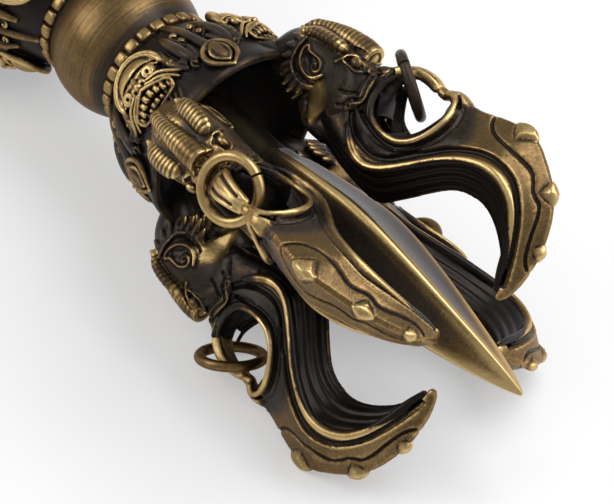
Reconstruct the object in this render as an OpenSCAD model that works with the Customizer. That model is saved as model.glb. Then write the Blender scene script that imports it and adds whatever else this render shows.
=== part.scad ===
// Double-ended wrathful vajra: four-sided blade and four hooked prongs at each end of a sphere.
// The long axis runs along X and the object lies on the two lower prongs of each end.

/* [Centre] */
// Diameter of the central sphere
sphere_d = 31; // [28:0.5:34]
// Diameter of the tie rod hidden in the middle
rod_d = 6; // [4:0.5:7]
// Length of rod that screws into each blade
rod_grip = 20; // [10:1:24]
// Clearance between pieces that fit together
fit = 0.1; // [0.05:0.05:0.2]

/* [Bead ring] */
// Number of beads in a ring
bead_count = 24; // [20:1:26]
// Diameter of one bead
bead_d = 2.9; // [2.4:0.1:3]
// Diameter of the circle through the centres of the beads
bead_ring_d = 24.2; // [22:0.2:25]
// Width of the band that carries the beads
bead_band_w = 1.8; // [1.2:0.1:2.4]

/* [Face collar] */
// Length of a collar from the beads to its open mouth
collar_len = 22.3; // [20:0.5:26]
// Outer diameter of the mouth
mouth_d = 42; // [40:0.5:45]
// Wall thickness at the mouth
collar_wall = 2; // [1.4:0.1:2.6]
// Depth of the cup behind the blade
cup_depth = 8; // [5:0.5:10]
// Height that a wrathful face stands out of the collar
face_relief = 2.4; // [1.6:0.2:3]
// Half width of a face
face_half_w = 6; // [5:0.25:7]
// Diameter of the eyeballs
eye_d = 3; // [2.4:0.1:3.4]
// Diameter of the curled leaf between two faces
leaf_d = 7; // [5.5:0.1:7.5]
// Thickness of the locks of hair beside a leaf's stem
lock_d = 2.6; // [2:0.1:3]
// Distance of the necks from the axis at the mouth
neck_r = 23.6; // [22.5:0.1:24.5]

/* [Blade] */
// Length of a blade from the collar's hub to its point
blade_len = 94.2; // [84:0.5:100]
// Largest half diagonal of the blade
blade_half_w = 11.8; // [9:0.2:12.4]
// Diameter of the round shank
shank_d = 11; // [9:0.5:12]
// Length of the shank
shank_len = 19; // [16:0.5:20]

/* [Cage] */
// Length from the collar's mouth to the farthest point of the prongs
cage_len = 72.6; // [66:0.5:78]
// Diameter across two opposite prongs
cage_d = 80; // [76:0.5:86]
// Half width of a prong at its widest
prong_half_w = 6; // [5:0.25:6.5]
// Height of the diamond bosses on the ridge
boss_h = 0.9; // [0.5:0.1:1.4]
// Width and height of the prong's tang in the makara's mouth
tang_w = 4.6; // [3.6:0.2:5]
// Length of the tang
tang_len = 6.5; // [4:0.5:8]

/* [Makara heads] */
// Half width of a head
head_half_w = 7.6; // [6.5:0.1:8]
// Diameter of the spigot that holds the head in its neck
spigot_d = 3; // [2.4:0.2:3.4]
// Length of the spigot
spigot_len = 2; // [1.5:0.25:2.25]
// Thickness of the trunk that forms the eyelet
trunk_t = 2.2; // [1.8:0.1:2.6]
// Thickness of the crest horn at its blunt end
horn_d = 5.4; // [4.4:0.1:5.6]
// Thickness of the two side horns
side_horn_d = 3.4; // [2.6:0.1:3.8]

/* [Rings] */
// Outer diameter of a loose ring
ring_d = 14.8; // [14:0.1:15.2]
// Thickness of the ring's wire
wire_d = 2.2; // [1.6:0.05:2.3]
// Width of the open joint in the ring
ring_gap = 0.5; // [0.3:0.1:1]

/* [Hidden] */
brass = "#a98a4b";
dark_brass = "#4a3f2c";
steel = "#8c8c88";
$fn = 48;
root_half = sqrt(1 / 2);
// Places along the axis
bead_sink = 0.5;
bead_x = sqrt(pow(sphere_d / 2, 2) - pow(bead_ring_d / 2 - bead_sink, 2));
collar_x = bead_x + bead_d / 2;
mouth_x = collar_x + collar_len;
hub_x = mouth_x - cup_depth;
hub_r = shank_d / 2 + 0.5;
rod_half_len = hub_x + rod_grip;
mouth_r = mouth_d / 2;
ring_r = (ring_d - wire_d) / 2;
// The cage's hand-set outlines are true at this length and this half diameter
outline_len = 72.6;
outline_r = 40;
len_k = cage_len / outline_len;
rad_k = cage_d / 2 / outline_r;
width_k = prong_half_w / 6;
// Rows of a prong from root to tip: ridge x and r, rim x and r, keel x and r, half width
prong_rows = [
    [20.6, 23.6, 20.6, 17.2, 20.6, 12.6, 4.6], [24, 22.2, 24, 16, 25, 11, 5.6],
    [28.5, 21, 29.5, 15.2, 31, 9.8, 6], [32.5, 22.4, 35, 16.8, 36.5, 10, 6],
    [35.6, 26.5, 39.5, 20.3, 40.5, 13.6, 6], [37.2, 31.5, 43.5, 24.4, 44.5, 18.2, 6],
    [38.3, 36, 46, 26.6, 47.2, 20.9, 5.9], [41, 36.3, 48, 28, 49, 22.1, 5.8],
    [44.5, 36.8, 50, 29.3, 51, 22.9, 5.8], [49, 38.4, 53, 30.4, 53.3, 23.4, 5.8],
    [54.5, 40, 55.5, 30.7, 55.5, 23.6, 5.8], [58, 39.3, 58.5, 30.2, 58.2, 23, 5.6],
    [62, 37, 62, 28.4, 61.2, 21.4, 5.2], [66, 34.2, 65.3, 25.8, 64, 19.2, 4.6],
    [69, 30.8, 67.8, 22.5, 66, 17, 4], [71.2, 26, 69.2, 19, 67.4, 15.2, 3.3],
    [72.4, 21, 70, 16, 68.4, 13.6, 2.6], [72.5, 16, 70.4, 13.4, 69.2, 12.2, 2],
    [71.6, 12.2, 70.2, 11.4, 69.6, 11.1, 1.5], [70.7, 10.8, 70, 10.7, 69.7, 10.6, 0.9]];
// Four-sided section of a prong: height from the rim towards the ridge, or below 0 towards the keel,
// and share of the half width
prong_section = [[-1, -0.1], [-1, 0.1], [-0.5, 0.6], [0, 1], [0.2, 1], [0.62, 0.5], [1, 0.1],
    [1, -0.1], [0.62, -0.5], [0.2, -1], [0, -1], [-0.5, -0.6]];
// Centre line of the trunk: x, r and half width
trunk_rows = [[14, 26.5, 3.4], [18, 27, 3], [21, 28.6, 2.7], [23, 31, 2.5], [25.5, 33.4, 2.3],
    [28.5, 34.7, 2], [31.5, 34.9, 1.7], [34, 34.4, 1.5], [36.4, 34, 1.4]];
// Crest horn: x, r and share of the full thickness
horn_rows = [[1, 27.8, 0.4], [2.4, 28.6, 0.5], [6, 29.2, 0.62], [10, 30.4, 0.8], [14, 31, 0.95],
    [17, 30.6, 1], [18.6, 30.2, 0.7]];
// Side horns: x, distance from the head's middle, r and share of the full thickness
side_horn_rows = [[2, 5.2, 26.6, 0.5], [4.5, 6.2, 28.1, 0.8], [7, 6.4, 28.7, 1], [10.4, 6.2, 29.2, 1],
    [12.8, 5.8, 29.3, 0.7]];
// Skull and jaws: x, r, half height and share of the half width
skull_rows = [[0.1, 23.8, 4.4, 0.66], [1, 23.8, 4.7, 0.7], [3, 24.2, 5.4, 0.84], [6, 24.4, 5.9, 0.95],
    [11, 24, 6.6, 1], [16, 23, 7, 1], [18.5, 21.8, 6.8, 0.86], [20, 21.6, 6.2, 0.72], [20.4, 21.6, 6, 0.7]];
// Pointed lower jaw that hangs towards the blade: x, r, half length and half width
jaw_rows = [[14.2, 19.5, 4.2, 5.8], [14.4, 17.6, 3.5, 5.2], [14.8, 15.4, 2.5, 3.8], [15.1, 13.6, 1.5, 2.4],
    [15.3, 12.4, 0.6, 1]];
// Bosses on a prong: x, r, turn of the ridge there and half length
boss_rows = [[55.3, 40, 3, 3.7], [67.2, 33.4, 43, 2.6], [72.2, 22.6, 78, 2.3]];
boss_slope = 1.6;
boss_aspect = 0.6;
function lerp(a, b, u) = a + (b - a) * u;
function at(p) = [mouth_x + p[0] * len_k, p[1] * rad_k];
function unit(p) = p / norm(p);
// Points of one smooth curve piece through b and c
function curve(a, b, c, d, u) =
    0.5 * (2 * b + (c - a) * u + (2 * a - 5 * b + 4 * c - d) * u * u
        + (3 * b - a - 3 * c + d) * u * u * u);
function smooth(rows, n) = let (m = len(rows) - 1) concat([
    for (i = [0:m - 1]) for (k = [0:n - 1])
        curve(rows[max(i - 1, 0)], rows[i], rows[i + 1], rows[min(i + 2, m)], k / n)], [rows[m]]);
// Ring of points at row i of a list [x, y, z, half height, half width], square to the line
function oval_ring(rows, i, sides) = let (
    m = len(rows) - 1,
    p = rows[i], a = rows[max(i - 1, 0)], b = rows[min(i + 1, m)],
    t = unit([b[0] - a[0], b[1] - a[1], b[2] - a[2]]),
    s = unit([0, 1, 0] - t * t[1]),
    n = cross(s, t)) [for (k = [0:sides - 1]) let (w = 360 * (k + 0.5) / sides)
        [p[0], p[1], p[2]] + s * p[4] * cos(w) - n * p[3] * sin(w)];
function prong_ring(row) = let (
    ridge = at([row[0], row[1]]), rim = at([row[2], row[3]]), keel = at([row[4], row[5]]))
    [for (q = prong_section) let (end = q[0] > 0 ? ridge : keel, u = abs(q[0]))
        [lerp(rim[0], end[0], u), q[1] * row[6] * width_k, lerp(rim[1], end[1], u)]];
prong_rings = [for (row = smooth(prong_rows, 2)) prong_ring(row)];
boss_top_r = boss_rows[0][1] * rad_k;
boss_rest_r = boss_top_r + max(boss_h, (boss_rows[0][3] * boss_aspect - boss_slope + 0.2) * rad_k);
// Height of the axis above the surface that the lower prongs lie on
axis_h = root_half * max(boss_rest_r, max([for (g = prong_rings) for (p = g) p[2] + abs(p[1])]));

// Solid skin over rings of points, closed at both ends
module loft(rings) {
    m = len(rings);
    n = len(rings[0]);
    polyhedron(
        points = [for (g = rings) for (p = g) p],
        faces = concat(
            [for (i = [0:m - 2]) for (k = [0:n - 1]) [i * n + k, (i + 1) * n + k, i * n + (k + 1) % n]],
            [for (i = [0:m - 2]) for (k = [0:n - 1])
                [i * n + (k + 1) % n, (i + 1) * n + k, (i + 1) * n + (k + 1) % n]],
            [for (k = [1:n - 2]) [0, k, k + 1]],
            [for (k = [1:n - 2]) [(m - 1) * n, (m - 1) * n + k + 1, (m - 1) * n + k]]));
}
module oval_loft(rows, sides) {
    loft([for (i = [0:len(rows) - 1]) oval_ring(rows, i, sides)]);
}
// Children made about the X axis go to one end, at the real height
module at_end(left) {
    translate([0, 0, axis_h]) mirror([left ? 1 : 0, 0, 0]) children();
}
// Children made with r along +Z turn to one of the four prong directions
module at_prong(low, back) {
    mirror([0, back ? 1 : 0, 0]) rotate([low ? 135 : 45, 0, 0]) children();
}
module along_x(x0, x1, r) {
    translate([x0, 0, 0]) rotate([0, 90, 0]) cylinder(h = x1 - x0, r = r);
}
module rod_hole(x0, x1) {
    along_x(x0, x1, rod_d / 2 + fit);
}
module sphere_seat() {
    sphere(r = sphere_d / 2 + fit, $fn = 96);
}

module center_sphere() {
    color(dark_brass) translate([0, 0, axis_h]) difference() {
        sphere(d = sphere_d, $fn = 96);
        rod_hole(-sphere_d, sphere_d);
    }
}
module tie_rod() {
    color(steel) translate([0, 0, axis_h]) along_x(-rod_half_len, rod_half_len, rod_d / 2);
}
module bead_ring(left) {
    color(brass) at_end(left) difference() {
        union() {
            along_x(collar_x - bead_band_w, collar_x - fit, bead_ring_d / 2 + bead_sink);
            for (i = [0:bead_count - 1]) rotate([i * 360 / bead_count, 0, 0])
                translate([bead_x - fit, 0, bead_ring_d / 2]) sphere(d = bead_d, $fn = 24);
        }
        sphere_seat();
        along_x(0, collar_x, 1.5);
    }
}

// Outer radius of the collar at a share u of its length
function collar_r(u) = lerp(bead_ring_d / 2 + 0.2, mouth_r, pow(u, 0.65));
collar_steps = [0, 0.04, 0.12, 0.25, 0.45, 0.7, 1];
module collar_body() {
    rotate([0, 90, 0]) rotate_extrude($fn = 96) polygon(concat(
        [[0, collar_x]],
        [for (u = collar_steps) [collar_r(u), collar_x + u * collar_len]],
        [[mouth_r - collar_wall, mouth_x], [mouth_r - collar_wall - 1.6, mouth_x - cup_depth * 0.4],
            [hub_r + 1, hub_x], [0, hub_x]]));
}
// Line on the collar through rows of share u of its length, distance across, height above the skin and
// half thickness
function skin_r(u, y) = sqrt(pow(collar_r(u), 2) - y * y);
function on_skin(rows) = [for (g = rows) [collar_x + g[0] * collar_len, g[1], skin_r(g[0], g[1]) + g[2], g[3]]];
function cord_ring(rows, i, sides) = let (
    m = len(rows) - 1, p = rows[i], a = rows[max(i - 1, 0)], b = rows[min(i + 1, m)],
    t = unit([b[0] - a[0], b[1] - a[1], b[2] - a[2]]),
    s = unit(cross([0, 0, 1], t)),
    n = cross(t, s)) [for (k = [0:sides - 1]) let (w = 360 * (k + 0.5) / sides)
        [p[0], p[1], p[2]] + (s * cos(w) + n * sin(w)) * p[3]];
module cord(rows) {
    line = on_skin(rows);
    loft([for (i = [0:len(line) - 1]) cord_ring(line, i, 6)]);
}
// A line over both halves of a face, from rows of its one half
function both(rows) = concat([for (i = [len(rows) - 1:-1:1]) [rows[i][0], -rows[i][1], rows[i][2], rows[i][3]]],
    rows);
// Rows in shares of the face's half width and relief
function on_face(rows) = [for (g = rows) [g[0], g[1] * face_half_w, g[2] * face_relief, g[3] * face_relief]];

// Neck that rises steeply to a head: share of the collar's length back from the mouth, then shares of the
// neck's distance from the axis for r, half height and half width
neck_rows = [[0.18, 0.835, 0.042, 0.15], [0.13, 0.869, 0.08, 0.178], [0.09, 0.928, 0.131, 0.2],
    [0.05, 0.979, 0.174, 0.212], [0, 1, 0.195, 0.22]];
spigot_r = neck_r * 0.95;
module neck() {
    loft([for (row = neck_rows) [for (k = [0:11]) let (w = 30 * k + 15)
        [mouth_x - row[0] * collar_len, row[3] * neck_r * cos(w), (row[1] + row[2] * sin(w)) * neck_r]]]);
}
crown_rows = [[0.13, 0, 0.5, 0.42], [0.16, 0.42, 0.53, 0.42], [0.235, 0.78, 0.57, 0.42],
    [0.37, 1.02, 0.55, 0.36], [0.45, 1.05, 0.5, 0.26]];
brow_rows = [[0.345, 0, 1, 0.2], [0.32, 0.48, 0.96, 0.24], [0.36, 0.84, 0.7, 0.18]];
fold_rows = [[0.49, 0.2, 1.02, 0.2], [0.55, 0.75, 0.95, 0.22], [0.66, 1.15, 0.6, 0.22], [0.7, 1.4, 0.3, 0.18]];
lip_rows = [[0.805, 0, 0.22, 0.2], [0.785, 0.5, 0.22, 0.2], [0.69, 0.95, 0.2, 0.18]];
// Share u, share of the half width and share of the relief
dome_rows = [[0.14, 0.45, 0.4], [0.2, 0.85, 0.78], [0.33, 1, 1.02], [0.47, 1.02, 1.02], [0.62, 1.03, 0.85],
    [0.69, 0.98, 0.25], [0.8, 0.85, 0.08], [0.88, 0.5, 0.04]];
// Wrathful face: domed brow and muzzle, crown band, round eyes, nose, folds and an open mouth with teeth
module face() {
    loft([for (s = dome_rows) [for (k = [0:9]) let (w = 36 * (k + 0.5), h = 1.2 + face_relief * s[2])
        [collar_x + s[0] * collar_len, face_half_w * s[1] * cos(w), collar_r(s[0]) - 1.2 + h * sin(w)]]]);
    cord(both(on_face(crown_rows)));
    cord(both(on_face(brow_rows)));
    cord(both(on_face(lip_rows)));
    for (side = [-1, 1]) {
        cord([for (g = on_face(fold_rows)) [g[0], side * g[1], g[2], g[3]]]);
        translate([collar_x + 0.46 * collar_len, side * 0.57 * face_half_w, skin_r(0.46, 3.4) + face_relief * 0.55])
            sphere(d = eye_d, $fn = 20);
        for (k = [0:2]) translate([collar_x + (0.655 + 0.012 * k * k) * collar_len,
            side * (0.13 + 0.25 * k) * face_half_w, skin_r(0.66, 0) + face_relief * (0.68 - 0.09 * k * k)])
            sphere(d = 1.7, $fn = 16);
    }
    translate([collar_x + 0.49 * collar_len, 0, skin_r(0.49, 0) + face_relief * 0.9])
        sphere(d = eye_d * 0.75, $fn = 20);
    for (k = [-1:1]) cord([[0.82, k * 0.42 * face_half_w, 0.3, 0.45], [0.95, k * 0.34 * face_half_w, 0.9, 0.45]]);
}
stem_rows = [[0.03, 0, 0.5, 0.85], [0.3, 0, 0.7, 1], [0.6, 0, 0.8, 1.2], [0.76, 0, 0.5, 1.7], [0.93, 0, 0.2, 1.4]];
lock_rows = [[0.21, 0.85, 0.15, 0.35], [0.37, 0.97, 0.3, 0.46], [0.55, 1, 0.3, 0.5], [0.7, 0.93, 0.25, 0.32]];
// Curled leaf on its stem between two faces, with a lock of hair at each side
module leaf() {
    translate([mouth_x - leaf_d / 2, 0, mouth_r - 0.6]) rotate([0, 14, 0])
        rotate_extrude($fn = 32) translate([leaf_d / 2 - 0.8, 0]) circle(r = 0.8, $fn = 16);
    cord(stem_rows);
    for (side = [-1, 1]) cord([for (g = lock_rows) [g[0], side * g[1] * 4.4, g[2] * lock_d, g[3] * lock_d]]);
}
module face_collar(left) {
    color(brass) at_end(left) difference() {
        union() {
            collar_body();
            for (low = [false, true]) for (back = [false, true]) at_prong(low, back) {
                neck();
                face();
            }
            for (a = [0:90:270]) rotate([a, 0, 0]) leaf();
        }
        sphere_seat();
        rod_hole(0, mouth_x);
        for (low = [false, true]) for (back = [false, true]) at_prong(low, back)
            translate([0, 0, spigot_r])
                along_x(mouth_x - spigot_len - 2 * fit, mouth_x + 1, spigot_d / 2 + fit);
    }
}

// Shares of the blade's free length and of its half diagonal, from shank to point
blade_shape = [[0, 0.45], [0.04, 0.68], [0.2, 0.87], [0.34, 1], [0.47, 0.94], [0.62, 0.78], [0.76, 0.56],
    [0.88, 0.33], [0.97, 0.12], [1, 0.04]];
module blade(left) {
    free_x = hub_x + shank_len;
    color(brass) at_end(left) difference() {
        union() {
            along_x(hub_x + fit / 2, free_x + 6, shank_d / 2);
            loft([for (s = blade_shape) [for (a = [0:90:270])
                [lerp(free_x, hub_x + blade_len, s[0]), blade_half_w * s[1] * cos(a),
                    blade_half_w * s[1] * sin(a)]]]);
        }
        rod_hole(hub_x - 1, rod_half_len + 1);
    }
}

module boss(row) {
    p = at([row[0], row[1]]);
    l = row[3] * rad_k;
    w = l * boss_aspect;
    slope = boss_slope * rad_k;
    translate([p[0], 0, p[1]]) rotate([0, row[2], 0]) polyhedron(
        points = [[-l, 0, -0.15 * l], [0, w, -slope], [l, 0, -0.15 * l], [0, -w, -slope], [0, 0, boss_h],
            [0, 0, -l]],
        faces = [[0, 1, 4], [1, 2, 4], [2, 3, 4], [3, 0, 4], [1, 0, 5], [2, 1, 5], [3, 2, 5], [0, 3, 5]]);
}
tang_x = at([20.6, 0])[0];
tang_r = at([0, 20.6])[1];
module prong(left, low, back) {
    color(brass) at_end(left) at_prong(low, back) {
        loft(prong_rings);
        translate([tang_x - tang_len, -tang_w / 2, tang_r - tang_w / 2])
            cube([tang_len + 1, tang_w, tang_w]);
        for (row = boss_rows) boss(row);
    }
}

module horn() {
    oval_loft([for (row = horn_rows) let (p = at([row[0], row[1]]))
        [p[0], 0, p[1], row[2] * horn_d / 2, row[2] * horn_d / 2]], 8);
}
module side_horn(side) {
    oval_loft([for (row = side_horn_rows) let (p = at([row[0], row[2]]))
        [p[0], side * row[1] * head_half_w / 7.6, p[1], row[3] * side_horn_d / 2,
            row[3] * side_horn_d / 2]], 6);
}
module trunk() {
    oval_loft([for (row = smooth(trunk_rows, 2)) let (p = at([row[0], row[1]]))
        [p[0], 0, p[1], trunk_t / 2, row[2] * head_half_w / 7.6]], 8);
}
module jaw() {
    oval_loft([for (row = jaw_rows) let (p = at([row[0], row[1]]))
        [p[0], 0, p[1], row[2] * len_k, row[3] * head_half_w / 7.6]], 8);
}
// Rows of a small form [x, y, r, half height, half width] that grow with the head
function grown(rows, side) = [for (g = rows)
    [g[0] * len_k, side * g[1] * head_half_w / 7.6, g[2] * rad_k, g[3] * rad_k, g[4] * head_half_w / 7.6]];
module ear(side) {
    p = at([13.5, 22.6]);
    translate([p[0], side * head_half_w, p[1]]) rotate([side * 12, 0, 0])
        oval_loft(grown([[-2.8, 0, -1.6, 0.5, 0.5], [-1, 0, 0, 1.6, 1.2], [1.2, 0, 0.9, 1.9, 1.3],
            [3, 0, 0.8, 0.7, 0.6]], side), 6);
}
module mane(side) {
    for (k = [0:3]) {
        p = at([5 + 2.6 * k, 20 - 0.9 * k]);
        translate([p[0], side * head_half_w * 0.74, p[1]])
            oval_loft(grown([[2.6, 0, 1, 1.9, 1.8], [0, 0.5, -1.2, 1.2, 1.3],
                [-2.2, 1.4, -2.6, 0.2, 0.2]], side), 4);
    }
}
module makara(left, low, back) {
    color(brass) at_end(left) at_prong(low, back) difference() {
        union() {
            oval_loft([for (row = skull_rows) let (p = at([row[0], row[1]]))
                [p[0], 0, p[1], row[2] * rad_k, row[3] * head_half_w]], 12);
            trunk();
            horn();
            jaw();
            for (side = [-1, 1]) {
                side_horn(side);
                ear(side);
                mane(side);
            }
            translate([0, 0, spigot_r]) along_x(mouth_x - spigot_len, mouth_x + 3, spigot_d / 2);
        }
        translate([tang_x - tang_len - fit, -tang_w / 2 - fit, tang_r - tang_w / 2 - fit])
            cube([tang_len + 2, tang_w + 2 * fit, tang_w + 2 * fit]);
    }
}

// Where each loose ring rests: the inner end of its seat (x, r), then lean, turn and roll
ring_rest_top_front = [[32.9, 29.9], 169.5, 0, -9];
ring_rest_top_back = [[33, 28.1], 150.5, 0, -27.5];
ring_rest_low = [[33.7, 31.4], 159, -9, -22];
module loose_ring(rest, gap_turn) {
    p = at(rest[0]);
    translate([p[0], 0, p[1]]) rotate([0, -rest[1], 0]) rotate([0, 0, rest[2]]) rotate([rest[3], 0, 0])
        translate([ring_r, 0, 0]) difference() {
            rotate_extrude($fn = 64) translate([ring_r, 0]) circle(d = wire_d, $fn = 24);
            rotate([0, 0, gap_turn]) translate([0, -ring_gap / 2, -wire_d])
                cube([ring_d, ring_gap, 2 * wire_d]);
        }
}
module ring(left, low, back) {
    rest = low ? ring_rest_low : back ? ring_rest_top_back : ring_rest_top_front;
    color(brass) at_end(left) at_prong(low, back) loose_ring(rest, low ? 20 : back ? 70 : 120);
}

center_sphere();
tie_rod();
bead_ring(false);  // bead_ring_right
bead_ring(true);  // bead_ring_left
face_collar(false);  // face_collar_right
face_collar(true);  // face_collar_left
blade(false);  // blade_right
blade(true);  // blade_left
makara(false, false, false);  // makara_right_top_front
makara(false, false, true);  // makara_right_top_back
makara(false, true, false);  // makara_right_low_front
makara(false, true, true);  // makara_right_low_back
makara(true, false, false);  // makara_left_top_front
makara(true, false, true);  // makara_left_top_back
makara(true, true, false);  // makara_left_low_front
makara(true, true, true);  // makara_left_low_back
prong(false, false, false);  // prong_right_top_front
prong(false, false, true);  // prong_right_top_back
prong(false, true, false);  // prong_right_low_front
prong(false, true, true);  // prong_right_low_back
prong(true, false, false);  // prong_left_top_front
prong(true, false, true);  // prong_left_top_back
prong(true, true, false);  // prong_left_low_front
prong(true, true, true);  // prong_left_low_back
ring(false, false, false);  // ring_right_top_front
ring(false, false, true);  // ring_right_top_back
ring(false, true, false);  // ring_right_low_front
ring(false, true, true);  // ring_right_low_back
ring(true, false, false);  // ring_left_top_front
ring(true, false, true);  // ring_left_top_back
ring(true, true, false);  // ring_left_low_front
ring(true, true, true);  // ring_left_low_back
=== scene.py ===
import math
import time
import bpy
import numpy as np
from mathutils import Matrix, Vector


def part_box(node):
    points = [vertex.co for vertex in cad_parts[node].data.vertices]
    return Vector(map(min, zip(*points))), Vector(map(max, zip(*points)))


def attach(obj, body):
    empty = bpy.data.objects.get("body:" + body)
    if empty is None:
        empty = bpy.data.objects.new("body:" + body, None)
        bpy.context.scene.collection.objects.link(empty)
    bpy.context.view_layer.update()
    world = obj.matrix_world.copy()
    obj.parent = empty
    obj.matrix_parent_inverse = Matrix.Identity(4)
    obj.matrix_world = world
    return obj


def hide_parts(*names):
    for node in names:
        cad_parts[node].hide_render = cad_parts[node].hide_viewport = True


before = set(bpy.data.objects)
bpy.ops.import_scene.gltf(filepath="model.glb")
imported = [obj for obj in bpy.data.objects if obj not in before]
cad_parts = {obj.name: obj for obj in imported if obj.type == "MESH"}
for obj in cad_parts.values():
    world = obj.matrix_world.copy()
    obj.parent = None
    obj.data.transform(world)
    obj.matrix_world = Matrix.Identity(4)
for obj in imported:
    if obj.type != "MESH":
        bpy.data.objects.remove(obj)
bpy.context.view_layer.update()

# Everything is modelled in mm about the long axis, as x, t (sideways) and r (out from the axis).
# A form seen in the side view of a hooked prong is written as it shows from the camera, and seen()
# moves it out to its real place on the near side.
mm = 0.001
rodLow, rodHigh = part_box("tie_rod")
axisHeight = (rodLow[2] + rodHigh[2]) / 2 / mm
viewSlope = (0.607, 0.252)
ends = {"right": 1, "left": -1}
spots = {"top_front": (45, 1), "top_back": (45, -1), "low_front": (135, 1), "low_back": (135, -1)}
started = time.time()


def report(text):
    print(f"{time.time() - started:6.1f} s  {text}")


def rise(value, start, span):
    # 0 up to start, 1 after the span, straight between; with a span below 0 it falls
    return np.clip((value - start) / span, 0, 1)


def nearest(value, low, step, count):
    # number of the nearest place on a grid line
    return np.clip(np.rint((value - low) / step), 0, count - 1).astype(np.int32)


def walkAlong(line):
    return np.r_[0, np.cumsum(np.linalg.norm(np.diff(line, axis=0), axis=1))]


def smoothLine(points, gap=0.5):
    p = np.array(points, float)
    if len(p) > 2:
        wide = np.vstack([2 * p[0] - p[1], p, 2 * p[-1] - p[-2]])
        u = np.linspace(0, 1, 16, endpoint=False)[:, None]
        runs = []
        for a, b, c, d in zip(wide, wide[1:], wide[2:], wide[3:]):
            runs.append(0.5 * (2 * b + (c - a) * u + (2 * a - 5 * b + 4 * c - d) * u ** 2
                               + (3 * b - a - 3 * c + d) * u ** 3))
        p = np.vstack(runs + [p[-1:]])
    walk = walkAlong(p[:, :3])
    at = np.linspace(0, walk[-1], max(2, int(math.ceil(walk[-1] / gap)) + 1))
    return np.column_stack([np.interp(at, walk, p[:, k]) for k in range(p.shape[1])])


def seen(points):
    # rows x, r, t, thickness as they show in the side view, to real x, t, r, thickness
    return [(x + viewSlope[0] * t, t, r + viewSlope[1] * t, w) for x, r, t, w in points]


def lineDistance(x, r, line):
    # from a line of x and r in the side view
    near = 99.0
    for (ax, ar), (bx, br) in zip(line, line[1:]):
        dx, dr = bx - ax, br - ar
        h = np.clip(((x - ax) * dx + (r - ar) * dr) / max(dx ** 2 + dr ** 2, 1e-9), 0, 1)
        near = np.minimum(near, np.hypot(x - ax - h * dx, r - ar - h * dr))
    return near


def softMin(a, b, blend):
    mix = np.clip(0.5 + 0.5 * (a - b) / blend, 0, 1)
    return a + (b - a) * mix - blend * mix * (1 - mix)


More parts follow.
